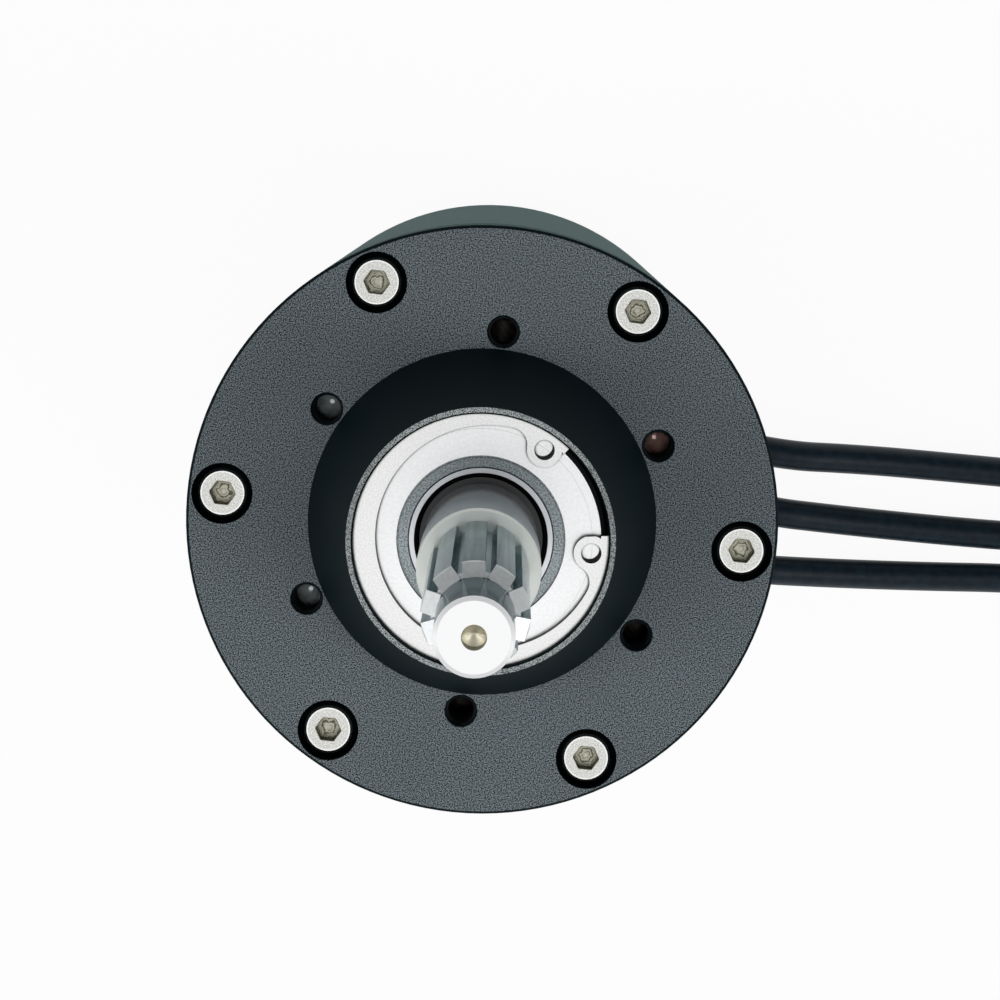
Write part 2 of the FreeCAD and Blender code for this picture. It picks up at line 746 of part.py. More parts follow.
for number, phase in enumerate("abc"):
    phase_coils(f"phase_{phase}_coils", number)

# Shaft: stepped spindle with a splined nose, turned and then grooved
collar_r = rear_bore / 2 + collar_step
front_collar_r = front_bore / 2 + collar_step
journal_r = front_bore / 2 - journal_step
neck_r = journal_r - neck_step
stop_r = core_seat_r + stop_step
rotor_bottom = stack_bottom - rotor_extra - balance_thick
rotor_top = stack_top + rotor_extra + balance_thick
shoulder = body_len + shoulder_height
nose = body_len + spline_end
tip = body_len + tip_height
shaft = turned("shaft", [
    (0, rear_back),
    (rear_bore / 2 - press_gap - edge_break, rear_back),
    (rear_bore / 2 - press_gap, rear_back + edge_break),
    (rear_bore / 2 - press_gap, rear_front),
    (collar_r, rear_front),
    (collar_r, rotor_bottom),
    (core_seat_r, rotor_bottom),
    (core_seat_r, rotor_top),
    (stop_r, rotor_top),
    (stop_r, rotor_top + stop_len),
    (front_collar_r, rotor_top + stop_len),
    (front_collar_r, front_back),
    (front_bore / 2 - press_gap, front_back),
    (front_bore / 2 - press_gap, front_face - seat_end),
    (neck_r, front_face - seat_end),
    (neck_r, rim + neck_reach),
    (journal_r, rim + neck_reach),
    (journal_r, shoulder - shoulder_bevel),
    (journal_r - shoulder_bevel, shoulder),
    (spline_dia / 2, shoulder),
    (spline_dia / 2, nose - edge_break / 2),
    (spline_dia / 2 - edge_break / 2, nose),
    (pilot_dia / 2, nose),
    (pilot_dia / 2, tip - pilot_bevel),
    (pilot_dia / 2 - pilot_bevel, tip),
    (centre_dia / 2, tip),
    (centre_dia / 2, tip - centre_depth),
    (0, tip - centre_depth - centre_dia / 4),
])

# Spaces between the spline teeth: each side runs parallel to the middle of its tooth
half_pitch = as_size(180) / spline_teeth
groove_sketch = sketch_on(shaft, "XY_Plane", spline_turn, nose)
root_r = spline_root / 2
open_r = spline_dia / 2 + edge_break
root_half = root_r * sine(half_pitch) - spline_tooth / 2 * cosine(half_pitch)
open_half = open_r * sine(half_pitch) - spline_tooth / 2 * cosine(half_pitch)
outline(groove_sketch, [
    (root_r, -root_half), (open_r, -open_half), (open_r, open_half), (root_r, root_half),
])
groove = extrude(shaft, groove_sketch, spline_end - shoulder_height, "Pocket")
around(shaft, [groove], spline_teeth)

# Rotor: core, magnets, retaining sleeve and balance rings on the core seat
core_low = stack_bottom - rotor_extra
core_high = stack_top + rotor_extra
core = ring("rotor_core", core_seat_r + press_gap, core_r, core_low, core_high)
core_sketch = sketch_on(core, "XY_Plane", height=core_high)
circle(core_sketch, (core_seat_r + core_r) / 2, 0, core_hole / 2)
around(core, [extrude(core, core_sketch, core_high - core_low, "Pocket")], core_hole_count)

magnets = new_body("rotor_magnets", many=True)
magnet_sketch = sketch_on(magnets, "XZ_Plane")
magnet_in = core_r + slip_gap
outline(magnet_sketch, [
    (magnet_in, core_low), (magnet_r, core_low), (magnet_r, core_high), (magnet_in, core_high),
])
segment = revolve(magnets, magnet_sketch, angle=as_size(360) / magnet_count - magnet_gap)
around(magnets, [segment], magnet_count)

ring("magnet_sleeve", magnet_r + slip_gap, sleeve_r, core_low, core_high)

# Balance rings, each with drilled pits on its outer face
for label, low, spins in (("rear_balance_ring", rotor_bottom, (20, 50, 200)),
                          ("front_balance_ring", core_high, (110, 140))):
    balance = ring(label, core_seat_r + press_gap, magnet_r, low, low + balance_thick)
    pit_sketch = sketch_on(balance, "XY_Plane", height=low + balance_thick)
    pit_r = (core_seat_r + magnet_r) / 2
    for spin in spins:
        angle = as_size(spin)
        circle(pit_sketch, pit_r * cosine(angle), pit_r * sine(angle), balance_pit / 2)
    extrude(balance, pit_sketch, pit_depth, "Pocket")

# Lead outlet: local Z points out of the flat, local Y runs along the row of leads
turn_out = math.radians(outlet_angle.value)
outward = Vector(math.cos(turn_out), math.sin(turn_out), 0)
along = Vector(-math.sin(turn_out), math.cos(turn_out), 0)
outlet_turn = Rotation(along.cross(outward), along, outward, "ZXY")
first_outlet = outward * flat_at.value - along * lead_pitch.value + Vector(0, 0, lead_height.value)


def outlet_row(label, corners):
    """Three like turned pieces, one on each lead hole."""
    body = new_body(label, many=True)
    sketch = sketch_on(body, "XZ_Plane")
    outline(sketch, corners)
    in_row(body, [revolve(body, sketch)], lead_pitch, 3)
    body.Placement = Placement(first_outlet, outlet_turn)
    return body


lead_r = lead_dia / 2
grip_r = lead_r + slip_gap
lip_r = lead_hole / 2 + lip_step
splice_r = lead_hole / 2 - splice_gap
outlet_row("lead_grommets", [
    (grip_r, -grommet_grip), (lead_hole / 2 - slip_gap, -grommet_grip), (lead_hole / 2 - slip_gap, 0),
    (lip_r, 0), (lip_r, lip_thick), (lead_hole / 2, lip_thick + nose_len),
    (grip_r, lip_thick + nose_len),
])
outlet_row("lead_splices", [
    (0, -lead_tail - splice_len), (splice_r - edge_break, -lead_tail - splice_len),
    (splice_r, -lead_tail - splice_len + edge_break), (splice_r, -lead_tail), (0, -lead_tail),
])

# Phase leads: route points beyond the straight run out of the grommet, up to the far end
lead_routes = {
    "a": [(71.5, 2.3, 5.6), (90.0, 2.6, 3.4), (108.5, 3.1, 2.95), (128.0, 5.2, 2.9),
          (148.0, 8.6, 2.95), (168.0, 10.6, 3.9), (187.5, 11.2, 4.1)],
    "b": [(69.6, -9.7, 5.6), (88.1, -9.7, 3.4), (106.6, -9.2, 2.95), (126.0, -8.0, 2.9),
          (146.5, -7.9, 2.95), (167.0, -8.9, 3.9), (187.0, -9.4, 4.1)],
    "c": [(67.5, -20.2, 5.6), (86.0, -18.9, 3.4), (104.4, -17.3, 2.95), (124.0, -17.0, 2.9),
          (144.0, -19.4, 2.95), (164.0, -23.5, 3.9), (183.5, -26.3, 4.1)],
}
bend_share = 0.45


def rounded_path(points):
    """Straight runs joined by tangent arcs, each as large as the shorter of its two runs allows."""
    edges = []
    radii = []
    start = points[0]
    for before, corner, after in zip(points, points[1:], points[2:]):
        back = before - corner
        ahead = after - corner
        cut = bend_share * min(back.Length, ahead.Length)
        back.normalize()
        ahead.normalize()
        half_turn = (math.pi - back.getAngle(ahead)) / 2
        radius = cut / math.tan(half_turn)
        middle = back + ahead
        middle.normalize()
        centre_distance = math.hypot(cut, radius)
        arc_middle = corner + middle * (centre_distance - radius)
        enter = corner + back * cut
        leave = corner + ahead * cut
        edges.append(Part.LineSegment(start, enter).toShape())
        edges.append(Part.Arc(enter, arc_middle, leave).toShape())
        radii.append(radius)
        start = leave
    edges.append(Part.LineSegment(start, points[-1]).toShape())
    return Part.Wire(edges), radii


def tube(path, start, direction, radius):
    """A round solid of one radius swept along the path."""
    section = Part.Wire(Part.makeCircle(radius, start, direction))
    solid = path.makePipeShell([section], True, False)
    solid = solid if solid.isValid() and solid.Volume > 0 else solid.reversed()
    return solid


def bullet_plug(label, place):
    """Turned plug: solder cup inside the sleeve, a collar and a sprung nose."""
    nose_r = plug_dia / 2
    collar_r = plug_collar / 2
    plug = turned(label, [
        (0, 0), (collar_r, 0), (collar_r, cup_len), (nose_r, cup_len),
        (nose_r, cup_len + plug_len / 5), (nose_r + plug_bulge, cup_len + plug_len / 2),
        (nose_r, cup_len + plug_len * 0.8), (nose_r - edge_break * 2, cup_len + plug_len),
        (0, cup_len + plug_len),
    ])
    plug.Placement = place


def shrink_sleeve(label, place):
    """Sleeve shrunk over the solder cup and the end of the lead."""
    inner_r = plug_collar / 2 + slip_gap
    sleeve = turned(label, [
        (lead_r + slip_gap, cup_len - shrink_len), (lead_r + slip_gap + shrink_wall, cup_len - shrink_len),
        (inner_r + shrink_wall, -edge_break), (inner_r + shrink_wall, cup_len), (inner_r, cup_len),
        (inner_r, -edge_break), (lead_r + slip_gap, -edge_break * 2),
    ])
    sleeve.Placement = place


for number, name in enumerate("cba"):
    hole = first_outlet + along * (lead_pitch.value * number)
    tail = hole - outward * lead_tail.value
    bend = hole + outward * lead_exit.value
    points = [tail, bend] + [Vector(*point) for point in lead_routes[name]]
    path, radii = rounded_path(points)
    shape = tube(path, tail, outward, lead_r.value)
    expected = math.pi * lead_r.value ** 2 * path.Length
    print(f"lead {name}: {path.Length:.1f} mm, radii", [round(radius) for radius in radii],
          f"volume {shape.Volume:.0f} of {expected:.0f}")
    lead = doc.addObject("Part::Feature", f"phase_lead_{name}")
    lead.Label = f"phase_lead_{name}"
    lead.Shape = shape
    pieces.append(lead)
    end_run = points[-1] - points[-2]
    end_turn = Rotation(Vector(0, 0, 1), end_run)
    bullet_plug(f"bullet_plug_{name}", Placement(points[-1], end_turn))
    shrink_sleeve(f"plug_sleeve_{name}", Placement(points[-1], end_turn))

doc.recompute()

# Nothing is written unless every object and every shape is sound
for item in doc.Objects:
    if "Invalid" in item.State or "Error" in item.State:
        raise RuntimeError(f"{item.Label} failed: {item.State}")
for piece in pieces:
    if piece.Shape.isNull() or not piece.Shape.isValid() or not piece.Shape.Solids:
        raise RuntimeError(f"{piece.Label} has no sound shape")

os.makedirs("parts", exist_ok=True)
for piece in pieces:
    piece.Shape.exportStep(f"parts/{piece.Label}.step")
    print(piece.Label, len(piece.Shape.Solids), round(piece.Shape.Volume, 1))
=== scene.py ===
import math

import bpy
from mathutils import Matrix, Vector


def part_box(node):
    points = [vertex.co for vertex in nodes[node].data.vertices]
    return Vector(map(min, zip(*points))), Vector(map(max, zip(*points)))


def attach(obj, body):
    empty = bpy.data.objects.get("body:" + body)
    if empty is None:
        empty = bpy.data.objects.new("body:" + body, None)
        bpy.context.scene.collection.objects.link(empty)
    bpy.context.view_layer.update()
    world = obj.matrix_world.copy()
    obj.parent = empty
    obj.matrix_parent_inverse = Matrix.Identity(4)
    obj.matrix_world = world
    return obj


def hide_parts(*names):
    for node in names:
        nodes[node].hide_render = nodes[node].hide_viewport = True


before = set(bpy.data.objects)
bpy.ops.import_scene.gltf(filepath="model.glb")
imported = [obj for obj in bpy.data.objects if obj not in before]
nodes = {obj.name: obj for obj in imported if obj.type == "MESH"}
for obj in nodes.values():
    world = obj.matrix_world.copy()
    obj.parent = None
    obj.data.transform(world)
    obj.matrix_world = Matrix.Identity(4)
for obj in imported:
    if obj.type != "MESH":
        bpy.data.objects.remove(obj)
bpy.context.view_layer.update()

# Photographer's set: the motor stands on its rear face on a white table, and the camera looks down
# along the shaft. One softbox hangs behind the camera, where the flat steel faces mirror it, two
# stand off to the left and right, and the far side of the room is left dim.
scene = bpy.context.scene
scene.view_settings.view_transform = "Standard"

camera_look = Vector((0.00927, -0.10485, -0.99445)).normalized()
camera_right = camera_look.cross(Vector((-0.11147, 0.99377, 0.0))).normalized()
camera_up = camera_right.cross(camera_look)
camera_data = bpy.data.cameras.new("camera")
camera_data.lens = 120.3
camera_data.sensor_width = 36.0
camera = bpy.data.objects.new("camera", camera_data)
scene.collection.objects.link(camera)
camera.matrix_world = Matrix((camera_right, camera_up, -camera_look)).transposed().to_4x4()
camera.location = (-0.00224, 0.05369, 0.64099)
scene.camera = camera


def softbox(name, place, aim, width, height, power):
    lamp = bpy.data.lights.new(name, "AREA")
    lamp.shape = "RECTANGLE"
    lamp.size = width
    lamp.size_y = height
    lamp.energy = power
    stand = bpy.data.objects.new(name, lamp)
    scene.collection.objects.link(stand)
    stand.location = place
    stand.rotation_euler = (Vector(aim) - Vector(place)).to_track_quat("-Z", "Y").to_euler()


flange_aim = (0.0, -0.02, 0.165)
body_aim = (0.0, 0.0, 0.15)
softbox("overhead_softbox", place=(0.0, -0.12, 1.25), aim=flange_aim, width=0.6, height=0.6, power=1.2)
softbox("left_softbox", place=(-0.85, -0.3, 0.75), aim=body_aim, width=0.5, height=0.7, power=3.2)
softbox("right_softbox", place=(0.85, -0.3, 0.75), aim=body_aim, width=0.5, height=0.7, power=3.2)


def feed(tree, socket, value):
    """Links a socket to another one, or sets it to a constant."""
    if isinstance(value, bpy.types.NodeSocket):
        tree.links.new(value, socket)
    else:
        socket.default_value = value


def calc(tree, operation, *terms):
    """One Math node; each term is a number or a socket."""
    node = tree.nodes.new("ShaderNodeMath")
    node.operation = operation
    for socket, term in zip(node.inputs, terms):
        feed(tree, socket, term)
    return node.outputs[0]


def spread(tree, value, low, high, first=0.0, last=1.0):
    """Stretches the values from low to high over first to last, and holds them there beyond."""
    node = tree.nodes.new("ShaderNodeMapRange")
    for label, number in (("From Min", low), ("From Max", high), ("To Min", first), ("To Max", last)):
        node.inputs[label].default_value = number
    tree.links.new(value, node.inputs["Value"])
    return node.outputs["Result"]


def axes_of(tree, kind):
    """X, Y and Z of one kind of texture coordinate."""
    place = tree.nodes.new("ShaderNodeTexCoord")
    axes = tree.nodes.new("ShaderNodeSeparateXYZ")
    tree.links.new(place.outputs[kind], axes.inputs[0])
    return axes.outputs


world = bpy.data.worlds.new("studio")
scene.world = world
world.use_nodes = True
sky = world.node_tree
sky_axes = axes_of(sky, "Generated")
sky_light = sky.nodes["Background"].inputs
sky_light["Color"].default_value = (0.97, 0.985, 1.0, 1.0)
sky_overhead = spread(sky, sky_axes["Z"], low=0.3, high=0.7, first=1.0, last=0.45)
sky_far_side = spread(sky, sky_axes["Y"], low=0.0, high=0.5, first=0.0, last=0.75)
sky_off_table = spread(sky, sky_axes["Z"], low=0.12, high=0.35)
sky_left_over = calc(sky, "SUBTRACT", 1.0, calc(sky, "MULTIPLY", sky_far_side, sky_off_table))
sky.links.new(calc(sky, "MULTIPLY", sky_overhead, sky_left_over), sky_light["Strength"])

bpy.ops.object.select_all(action="DESELECT")
bpy.ops.mesh.primitive_plane_add(size=6.0, location=(0.0, 0.0, 0.0))
table = bpy.context.object
table.name = "white_table"
paper = bpy.data.materials.new("white_paper")
paper.use_nodes = True
paper_tree = paper.node_tree
paper_tree.nodes.clear()
paper_out = paper_tree.nodes.new("ShaderNodeOutputMaterial")
paper_matt = paper_tree.nodes.new("ShaderNodeBsdfDiffuse")
paper_matt.inputs["Color"].default_value = (0.9, 0.9, 0.9, 1.0)
paper_glow = paper_tree.nodes.new("ShaderNodeEmission")
paper_glow_share = 0.94
paper_path = paper_tree.nodes.new("ShaderNodeLightPath").outputs
paper_mirrored = calc(paper_tree, "MAXIMUM", paper_path["Is Glossy Ray"], paper_path["Is Transmission Ray"])
paper_seen = calc(paper_tree, "MAXIMUM", paper_path["Is Camera Ray"], paper_mirrored)
paper_mix = paper_tree.nodes.new("ShaderNodeMixShader")
paper_tree.links.new(calc(paper_tree, "MULTIPLY", paper_seen, paper_glow_share), paper_mix.inputs["Fac"])
paper_tree.links.new(paper_matt.outputs[0], paper_mix.inputs[1])
paper_tree.links.new(paper_glow.outputs[0], paper_mix.inputs[2])
paper_tree.links.new(paper_mix.outputs[0], paper_out.inputs["Surface"])
table.data.materials.append(paper)


# Can and rear cover: a thick aluminium tube and a cup that closes its foot, turned and then
# anodised a satin grey with a faint green cast. Fine turning rings run round the wall.
def new_finish(name, metallic, roughness, shine=0.5):
    """A material of one Principled shader with these constants."""
    material = bpy.data.materials.new(name)
    material.use_nodes = True
    surface = material.node_tree.nodes["Principled BSDF"].inputs
    surface["Metallic"].default_value = metallic
    surface["Roughness"].default_value = roughness
    surface["Specular IOR Level"].default_value = shine
    return material, material.node_tree, surface


def dress(material, *names):
    """Gives these CAD pieces one finish."""
    for name in names:
        nodes[name].data.materials.clear()
        nodes[name].data.materials.append(material)


def new_group(name, inputs, outputs):
    group = bpy.data.node_groups.new(name, "ShaderNodeTree")
    for label, kind, value in inputs:
        socket = group.interface.new_socket(label, in_out="INPUT", socket_type=kind)
        socket.default_value = value
    for label, kind in outputs:
        group.interface.new_socket(label, in_out="OUTPUT", socket_type=kind)
    return group, group.nodes.new("NodeGroupInput").outputs, group.nodes.new("NodeGroupOutput").inputs


def place_group(tree, group, **values):
    placed = tree.nodes.new("ShaderNodeGroup")
    placed.node_tree = group
    for label, value in values.items():
        placed.inputs[label].default_value = value
    return placed.outputs


def mix_colors(tree, share, first, second):
    """A colour between two, each a constant or a socket."""
    node = tree.nodes.new("ShaderNodeMix")
    node.data_type = "RGBA"
    tree.links.new(share, node.inputs["Factor"])
    for label, color in (("A", first), ("B", second)):
        feed(tree, node.inputs[label], (*color, 1.0) if isinstance(color, tuple) else color)
    return node.outputs["Result"]


def noise(tree, scale, detail, distortion=0.0):
    place = tree.nodes.new("ShaderNodeTexCoord")
    node = tree.nodes.new("ShaderNodeTexNoise")
    node.inputs["Detail"].default_value = detail
    node.inputs["Distortion"].default_value = distortion
    feed(tree, node.inputs["Scale"], scale)
    tree.links.new(place.outputs["Object"], node.inputs["Vector"])
    return node.outputs["Fac"]


def line_noise(tree, run, scale):
    """Noise along one measure only, which draws parallel lines or rings."""
    node = tree.nodes.new("ShaderNodeTexNoise")
    node.noise_dimensions = "1D"
    tree.links.new(run, node.inputs["W"])
    feed(tree, node.inputs["Scale"], scale)
    return node.outputs["Fac"]


def hypotenuse(tree, first, second):
    return calc(tree, "SQRT", calc(
        tree, "ADD", calc(tree, "MULTIPLY", first, first), calc(tree, "MULTIPLY", second, second)))


def emboss(tree, surface, height, strength, distance):
    bump = tree.nodes.new("ShaderNodeBump")
    bump.inputs["Strength"].default_value = strength
    bump.inputs["Distance"].default_value = distance
    tree.links.new(height, bump.inputs["Height"])
    tree.links.new(bump.outputs["Normal"], surface["Normal"])


speckle, speckle_in, speckle_out = new_group(
    "speckle",
    [("Dark", "NodeSocketColor", (0.03, 0.03, 0.03, 1.0)),
     ("Light", "NodeSocketColor", (0.1, 0.1, 0.1, 1.0)),
     ("Grain", "NodeSocketFloat", 3000.0)],
    [("Color", "NodeSocketColor"), ("Height", "NodeSocketFloat")])
speckle_fine = noise(speckle, speckle_in["Grain"], detail=1.0)
speckle_clouds = noise(speckle, scale=60.0, detail=3.0)
speckle_share = calc(speckle, "MULTIPLY",
                     spread(speckle, speckle_fine, low=0.36, high=0.64),
                     spread(speckle, speckle_clouds, low=0.3, high=0.7, first=0.95, last=1.05))
speckle.links.new(mix_colors(speckle, speckle_share, speckle_in["Dark"], speckle_in["Light"]),
                  speckle_out["Color"])
speckle.links.new(speckle_fine, speckle_out["Height"])

turning, turning_in, turning_out = new_group(
    "turning_marks",
    [("Across Face", "NodeSocketFloat", 0.0),
     ("Along Shaft", "NodeSocketFloat", 1.0),
     ("Lines", "NodeSocketFloat", 9000.0)],
    [("Height", "NodeSocketFloat"), ("Radius", "NodeSocketFloat"), ("Up", "NodeSocketFloat")])
turning_axes = axes_of(turning, "Object")
turning_radius = hypotenuse(turning, turning_axes["X"], turning_axes["Y"])
turning_run = calc(
    turning, "ADD",
    calc(turning, "MULTIPLY", turning_radius, turning_in["Across Face"]),
    calc(turning, "MULTIPLY", turning_axes["Z"], turning_in["Along Shaft"]))
turning.links.new(line_noise(turning, turning_run, turning_in["Lines"]), turning_out["Height"])
turning.links.new(turning_radius, turning_out["Radius"])
turning.links.new(turning_axes["Z"], turning_out["Up"])


def new_grain(tree, dark, light, grain):
    """The speckle between two colours."""
    return place_group(tree, speckle, Dark=(*dark, 1.0), Light=(*light, 1.0), Grain=grain)


def color_grain(tree, surface, dark, light, grain):
    """Puts the speckle on the base colour and gives its height."""
    placed = new_grain(tree, dark, light, grain)
    tree.links.new(placed["Color"], surface["Base Color"])
    return placed["Height"]


satin_metal = 0.9
satin_tint = (0.47, 0.62, 0.61, 1.0)
satin, satin_tree, satin_surface = new_finish("satin_anodise", satin_metal, roughness=0.45, shine=0.0)
satin_surface["Specular Tint"].default_value = satin_tint
color_grain(satin_tree, satin_surface,
            dark=(0.02, 0.026, 0.026), light=(0.032, 0.039, 0.039), grain=2500.0)
satin_marks = place_group(satin_tree, turning, Lines=6000.0)
emboss(satin_tree, satin_surface, satin_marks["Height"], strength=0.12, distance=0.0002)
dress(satin, "housing_can", "rear_cover")


# O-rings and lead grommets: moulded black nitrile rubber with a dull, slightly uneven skin. The rings
# seal both covers, and a grommet guides each lead through the wall.
rubber, rubber_tree, rubber_surface = new_finish("nitrile_rubber", metallic=0.0, roughness=0.6, shine=0.3)
rubber_skin = color_grain(rubber_tree, rubber_surface,
                          dark=(0.012, 0.012, 0.013), light=(0.03, 0.03, 0.032), grain=1200.0)
emboss(rubber_tree, rubber_surface, rubber_skin, strength=0.15, distance=0.0002)
dress(rubber, "front_o_ring", "rear_o_ring", "lead_grommets")


# Stator and rotor stacks: thin electrical steel sheets pressed together, so the outside shows fine
# parallel edges under a grey oxide.
stack, stack_tree, stack_surface = new_finish("lamination_steel", metallic=0.8, roughness=0.5)
color_grain(stack_tree, stack_surface, dark=(0.12, 0.12, 0.13), light=(0.28, 0.28, 0.29), grain=700.0)
stack_edges = place_group(stack_tree, turning, Lines=2800.0)
emboss(stack_tree, stack_surface, stack_edges["Height"], strength=0.5, distance=0.0004)
dress(stack, "stator_core", "rotor_core")


# Slot insulators: moulded black plastic end plates with a fine spark-eroded grain, pushed onto both
# ends of the stator before it is wound.
plate, plate_tree, plate_surface = new_finish("slot_plastic", metallic=0.0, roughness=0.55)
plate_grain = color_grain(plate_tree, plate_surface,
                          dark=(0.015, 0.015, 0.016), light=(0.045, 0.045, 0.047), grain=2000.0)
emboss(plate_tree, plate_surface, plate_grain, strength=0.2, distance=0.0002)
dress(plate, "front_slot_insulator", "rear_slot_insulator")


# Coils: enamelled copper wire wound round each tooth and dipped in dark varnish. The copper is painted
# near black: partly that varnish, partly painted shade for the dark behind the mounting holes.
copper_dark = (0.02, 0.012, 0.009)
copper_light = (0.055, 0.025, 0.015)
copper, copper_tree, copper_surface = new_finish("enamelled_copper", metallic=0.0, roughness=0.5, shine=0.3)
copper_place = copper_tree.nodes.new("ShaderNodeTexCoord")
copper_strands = copper_tree.nodes.new("ShaderNodeTexWave")
copper_strands.bands_direction = "DIAGONAL"
copper_strands.inputs["Scale"].default_value = 420.0
copper_strands.inputs["Distortion"].default_value = 1.5
copper_strands.inputs["Detail"].default_value = 1.0
copper_tree.links.new(copper_place.outputs["Object"], copper_strands.inputs["Vector"])
copper_tree.links.new(mix_colors(copper_tree, copper_strands.outputs["Fac"], copper_dark, copper_light),
                      copper_surface["Base Color"])
copper_surface["Coat Weight"].default_value = 0.2
copper_surface["Coat Roughness"].default_value = 0.3
emboss(copper_tree, copper_surface, copper_strands.outputs["Fac"], strength=0.12, distance=0.0003)
dress(copper, "phase_a_coils", "phase_b_coils", "phase_c_coils")

# Resin drops: three drops of insulating resin that run together on the end turns and set as glossy
# domes, right behind three of the mounting holes. One stays brown and clear, two are filled grey.
drop_size = 0.0029
drop_places = ((0.0235, 0.0143, 0.1542), (-0.0235, 0.0143, 0.1545), (-0.0237, -0.0133, 0.1549))
resin, resin_tree, resin_surface = new_finish("set_resin", metallic=0.15, roughness=0.1, shine=1.0)
resin_gray = new_grain(resin_tree, dark=(0.6, 0.68, 0.68), light=(0.88, 0.98, 0.98), grain=700.0)
resin_brown = new_grain(resin_tree, dark=(0.6, 0.33, 0.29), light=(0.95, 0.6, 0.53), grain=700.0)
resin_first_drop = calc(resin_tree, "GREATER_THAN", axes_of(resin_tree, "Object")["X"], 0.0)
resin_tree.links.new(mix_colors(resin_tree, resin_first_drop, resin_gray["Color"], resin_brown["Color"]),
                     resin_surface["Base Color"])
emboss(resin_tree, resin_surface, resin_gray["Height"], strength=0.1, distance=0.0002)
bpy.ops.object.select_all(action="DESELECT")
for number, drop_place in enumerate(drop_places, start=1):
    bpy.ops.mesh.primitive_uv_sphere_add(segments=40, ring_count=24, radius=drop_size)
    drop = bpy.context.object
    drop.name = f"resin_drop_{number}"
    bpy.ops.object.mode_set(mode="EDIT")
    bpy.ops.mesh.select_all(action="SELECT")
    bpy.ops.mesh.bisect(plane_co=(0.0, 0.0, 0.0), plane_no=(0.0, 0.0, 1.0), use_fill=True, clear_inner=True)
    bpy.ops.mesh.select_all(action="SELECT")
    bpy.ops.transform.translate(value=drop_place)
    bpy.ops.object.mode_set(mode="OBJECT")
    bpy.ops.object.shade_smooth_by_angle(angle=math.radians(40.0))
    drop.data.materials.append(resin)
    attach(drop, "housing")


# Phase leads: three fine-stranded wires in soft black silicone, limp enough to lie on the table.
# Each leaves its grommet straight and level, sinks to the table and runs out to its plug.
silicone, silicone_tree, silicone_surface = new_finish(
    "silicone_jacket", metallic=0.0, roughness=0.4, shine=0.22)
silicone_skin = color_grain(silicone_tree, silicone_surface,
                            dark=(0.0015, 0.008, 0.0145), light=(0.004, 0.015, 0.024), grain=600.0)
emboss(silicone_tree, silicone_surface, silicone_skin, strength=0.06, distance=0.0003)

lead_width = 0.00565
lead_routes = {
    "a": [(0.03491, 0.00401, 0.0100), (0.05297, 0.00139, 0.0100), (0.0715, 0.00217, 0.0056),
          (0.0900, 0.00237, 0.0034), (0.1085, 0.00263, 0.00295), (0.1280, 0.0052, 0.0029),
          (0.1480, 0.0086, 0.00295), (0.1680, 0.0106, 0.0039), (0.1875, 0.0112, 0.0041)],
    "b": [(0.03289, -0.00639, 0.0100), (0.05095, -0.00934, 0.0100), (0.0696, -0.00987, 0.0056),
          (0.0881, -0.00992, 0.0034), (0.1066, -0.00942, 0.00295), (0.1260, -0.0080, 0.0029),
          (0.1465, -0.0079, 0.00295), (0.1670, -0.0089, 0.0039), (0.1870, -0.0094, 0.0041)],
    "c": [(0.03086, -0.01680, 0.0100), (0.04892, -0.02085, 0.0100), (0.0675, -0.0203, 0.0056),
          (0.0860, -0.01915, 0.0034), (0.1044, -0.01748, 0.00295), (0.1240, -0.0170, 0.0029),
          (0.1440, -0.0194, 0.00295), (0.1640, -0.0235, 0.0039), (0.1835, -0.0263, 0.0041)],
}
for phase, route in lead_routes.items():
    lead_curve = bpy.data.curves.new(f"silicone_lead_{phase}", "CURVE")
    lead_curve.dimensions = "3D"
    lead_curve.bevel_depth = lead_width / 2.0
    lead_curve.bevel_resolution = 6
    lead_curve.resolution_u = 24
    lead_curve.use_fill_caps = True
    lead_line = lead_curve.splines.new("NURBS")
    lead_line.points.add(len(route) - 1)
    for point, place in zip(lead_line.points, route):
        point.co = (*place, 1.0)
    lead_line.order_u = 3
    lead_line.use_endpoint_u = True
    lead = bpy.data.objects.new(f"silicone_lead_{phase}", lead_curve)
    scene.collection.objects.link(lead)
    lead_curve.materials.append(silicone)
    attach(lead, "housing")
    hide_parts(f"phase_lead_{phase}")


# Splices and plug sleeves: black polyolefin tube, shrunk with hot air over the soldered ends, so it
# follows what lies under it in faint waves.
shrink, shrink_tree, shrink_surface = new_finish("shrink_plastic", metallic=0.0, roughness=0.5, shine=0.35)
shrink_skin = color_grain(shrink_tree, shrink_surface,
                          dark=(0.010, 0.010, 0.011), light=(0.022, 0.022, 0.024), grain=500.0)
emboss(shrink_tree, shrink_surface, shrink_skin, strength=0.25, distance=0.0004)
dress(shrink, "lead_splices", "plug_sleeve_a", "plug_sleeve_b", "plug_sleeve_c")


# Bullet plugs: turned brass with thin gold plating, a little worn where they slide. The lead is
# soldered into the cup under the sleeve.
gilt, gilt_tree, gilt_surface = new_finish("plated_brass", metallic=1.0, roughness=0.25)
gilt_wear = color_grain(gilt_tree, gilt_surface, dark=(0.66, 0.45, 0.16), light=(0.83, 0.6, 0.25), grain=900.0)
emboss(gilt_tree, gilt_surface, gilt_wear, strength=0.05, distance=0.0002)
dress(gilt, "bullet_plug_a", "bullet_plug_b", "bullet_plug_c")
